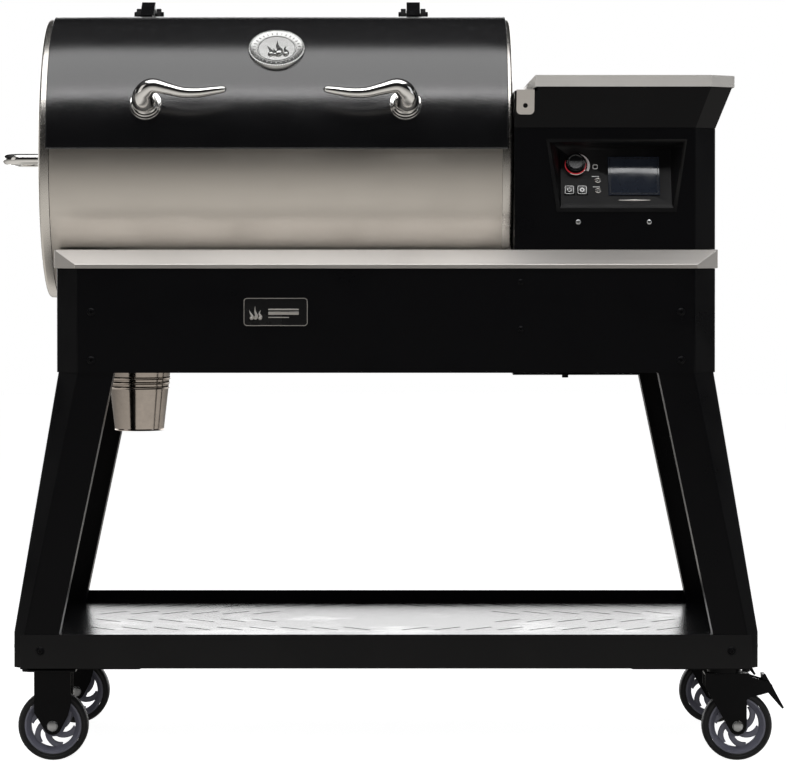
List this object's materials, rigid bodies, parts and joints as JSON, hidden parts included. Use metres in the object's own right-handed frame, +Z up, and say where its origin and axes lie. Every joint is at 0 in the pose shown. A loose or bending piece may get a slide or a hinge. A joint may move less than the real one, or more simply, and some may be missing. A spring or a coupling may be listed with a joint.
{
  "type": "pellet smoker grill",
  "caption": "Wood-pellet smoker grill: barrel with a hinged lid, side hopper with tilted controls, auger-fed fire pot and hanging grease bucket, on a caster cart with a slotted shelf.",
  "frame": {"origin": "on the ground under the middle of the cart, on the barrel's axis plane", "axes": "+X to the user's right along the barrel, +Y to the back, +Z up"},
  "size_m": [1.308, 0.595, 1.274],
  "materials": {
    "black_powder_coat": "satin black powder coat",
    "textured_lid_coat": "fine-textured black powder coat",
    "brushed_stainless": "brushed stainless steel",
    "polished_chrome": "polished chrome",
    "zinc_plate": "bright zinc plate",
    "satin_cast_badge": "satin cast aluminium",
    "grey_rim_plastic": "grey moulded plastic",
    "black_tyre": "black tread rubber",
    "gloss_black_plastic": "gloss black moulded plastic",
    "dark_screen": "dark display window",
    "dark_steel": "dark heat-resistant steel"
  },
  "bodies": {
    "cart": {"front_panel": "black_powder_coat", "cabinet_shell": "black_powder_coat", "front_shelf": "brushed_stainless", "leg_front_left": "black_powder_coat", "leg_front_right": "black_powder_coat", "leg_rear_left": "black_powder_coat", "leg_rear_right": "black_powder_coat", "bottom_shelf": "black_powder_coat", "caster_rail_left": "black_powder_coat", "caster_rail_right": "black_powder_coat", "fork_front_left": "black_powder_coat", "fork_rear_left": "black_powder_coat", "axle_front_left": "zinc_plate", "axle_rear_left": "zinc_plate", "barrel_shell": "brushed_stainless", "barrel_end_left": "brushed_stainless", "barrel_end_right": "brushed_stainless", "side_handle": "polished_chrome", "exhaust_hood": "black_powder_coat", "hinge_base_left": "black_powder_coat", "hinge_base_right": "black_powder_coat", "hopper_casing": "black_powder_coat", "hopper_bin": "black_powder_coat", "bottle_opener": "brushed_stainless", "control_bezel": "gloss_black_plastic", "display_screen": "dark_screen", "fire_pot": "dark_steel", "heat_deflector": "dark_steel", "drip_pan": "dark_steel", "cooking_grate": "brushed_stainless", "auger_tube": "dark_steel", "auger_motor": "dark_steel", "blower": "dark_steel"},
    "barrel_lid": {"lid_shell": "textured_lid_coat", "hinge_leaf_left": "black_powder_coat", "hinge_leaf_right": "black_powder_coat", "horn_handle_left": "polished_chrome", "horn_handle_right": "polished_chrome", "lid_badge": "satin_cast_badge"},
    "hopper_cover": {"hopper_lid": "brushed_stainless"},
    "knob": {"control_knob": "gloss_black_plastic"},
    "power_key": {"power_button": "gloss_black_plastic"},
    "select_key": {"select_button": "gloss_black_plastic"},
    "auger": {"auger_screw": "dark_steel"},
    "bail": {"bucket_bail": "zinc_plate"},
    "bucket": {"grease_bucket": "brushed_stainless"},
    "wheel_front_left": {"rim_front_left": "grey_rim_plastic", "tyre_front_left": "black_tyre"},
    "wheel_rear_left": {"rim_rear_left": "grey_rim_plastic", "tyre_rear_left": "black_tyre"},
    "swivel_front": {"fork_front_right": "black_powder_coat", "axle_front_right": "zinc_plate"},
    "swivel_rear": {"fork_rear_right": "black_powder_coat", "axle_rear_right": "zinc_plate"},
    "wheel_front_right": {"rim_front_right": "grey_rim_plastic", "tyre_front_right": "black_tyre"},
    "wheel_rear_right": {"rim_rear_right": "grey_rim_plastic", "tyre_rear_right": "black_tyre"},
    "brake_front": {"brake_lever_front": "black_powder_coat"},
    "brake_rear": {"brake_lever_rear": "black_powder_coat"}
  },
  "joints": [
    {"name": "lid_hinge", "type": "hinge", "parent": "cart", "child": "barrel_lid", "pos_m": [-0.18275, 0.105, 1.252], "axis": [-1, 0, 0], "range_deg": [0, 85]},
    {"name": "hopper_lid_hinge", "type": "hinge", "parent": "cart", "child": "hopper_cover", "pos_m": [0.4, 0.2435, 1.1], "axis": [-1, 0, 0], "range_deg": [0, 100]},
    {"name": "knob_turn", "type": "hinge", "parent": "cart", "child": "knob", "pos_m": [0.31395, -0.22116, 0.98477], "axis": [0, -0.9135, 0.4067], "continuous": true},
    {"name": "power_press", "type": "slide", "parent": "cart", "child": "power_key", "axis": [0, 0.9135, -0.4067], "range_m": [0, 0.0012], "stiffness_N_per_m": 400, "springref_m": -0.0004},
    {"name": "select_press", "type": "slide", "parent": "cart", "child": "select_key", "axis": [0, 0.9135, -0.4067], "range_m": [0, 0.0012], "stiffness_N_per_m": 400, "springref_m": -0.0004},
    {"name": "auger_turn", "type": "hinge", "parent": "cart", "child": "auger", "pos_m": [-0.15, 0, 0.735], "axis": [1, 0, 0], "continuous": true},
    {"name": "bail_swing", "type": "hinge", "parent": "cart", "child": "bail", "pos_m": [-0.424, 0, 0.713], "axis": [0, 1, 0], "range_deg": [-20, 20]},
    {"name": "bucket_tilt", "type": "hinge", "parent": "bail", "child": "bucket", "pos_m": [-0.424, 0, 0.65205], "axis": [1, 0, 0], "range_deg": [-20, 20]},
    {"name": "wheel_front_left_spin", "type": "hinge", "parent": "cart", "child": "wheel_front_left", "pos_m": [-0.551, -0.235, 0.058], "axis": [0, 1, 0], "continuous": true},
    {"name": "wheel_rear_left_spin", "type": "hinge", "parent": "cart", "child": "wheel_rear_left", "pos_m": [-0.551, 0.235, 0.058], "axis": [0, 1, 0], "continuous": true},
    {"name": "caster_front_swivel", "type": "hinge", "parent": "cart", "child": "swivel_front", "pos_m": [0.56, -0.235, 0.1452], "axis": [0, 0, 1], "continuous": true},
    {"name": "caster_rear_swivel", "type": "hinge", "parent": "cart", "child": "swivel_rear", "pos_m": [0.56, 0.235, 0.1452], "axis": [0, 0, 1], "continuous": true},
    {"name": "wheel_front_right_spin", "type": "hinge", "parent": "swivel_front", "child": "wheel_front_right", "pos_m": [0.581, -0.235, 0.058], "axis": [0, 1, 0], "continuous": true},
    {"name": "wheel_rear_right_spin", "type": "hinge", "parent": "swivel_rear", "child": "wheel_rear_right", "pos_m": [0.581, 0.235, 0.058], "axis": [0, 1, 0], "continuous": true},
    {"name": "brake_front_press", "type": "hinge", "parent": "swivel_front", "child": "brake_front", "pos_m": [0.63, -0.235, 0.122], "axis": [0, 1, 0], "range_deg": [0, 18]},
    {"name": "brake_rear_press", "type": "hinge", "parent": "swivel_rear", "child": "brake_rear", "pos_m": [0.63, 0.235, 0.122], "axis": [0, 1, 0], "range_deg": [0, 18]}
  ]
}
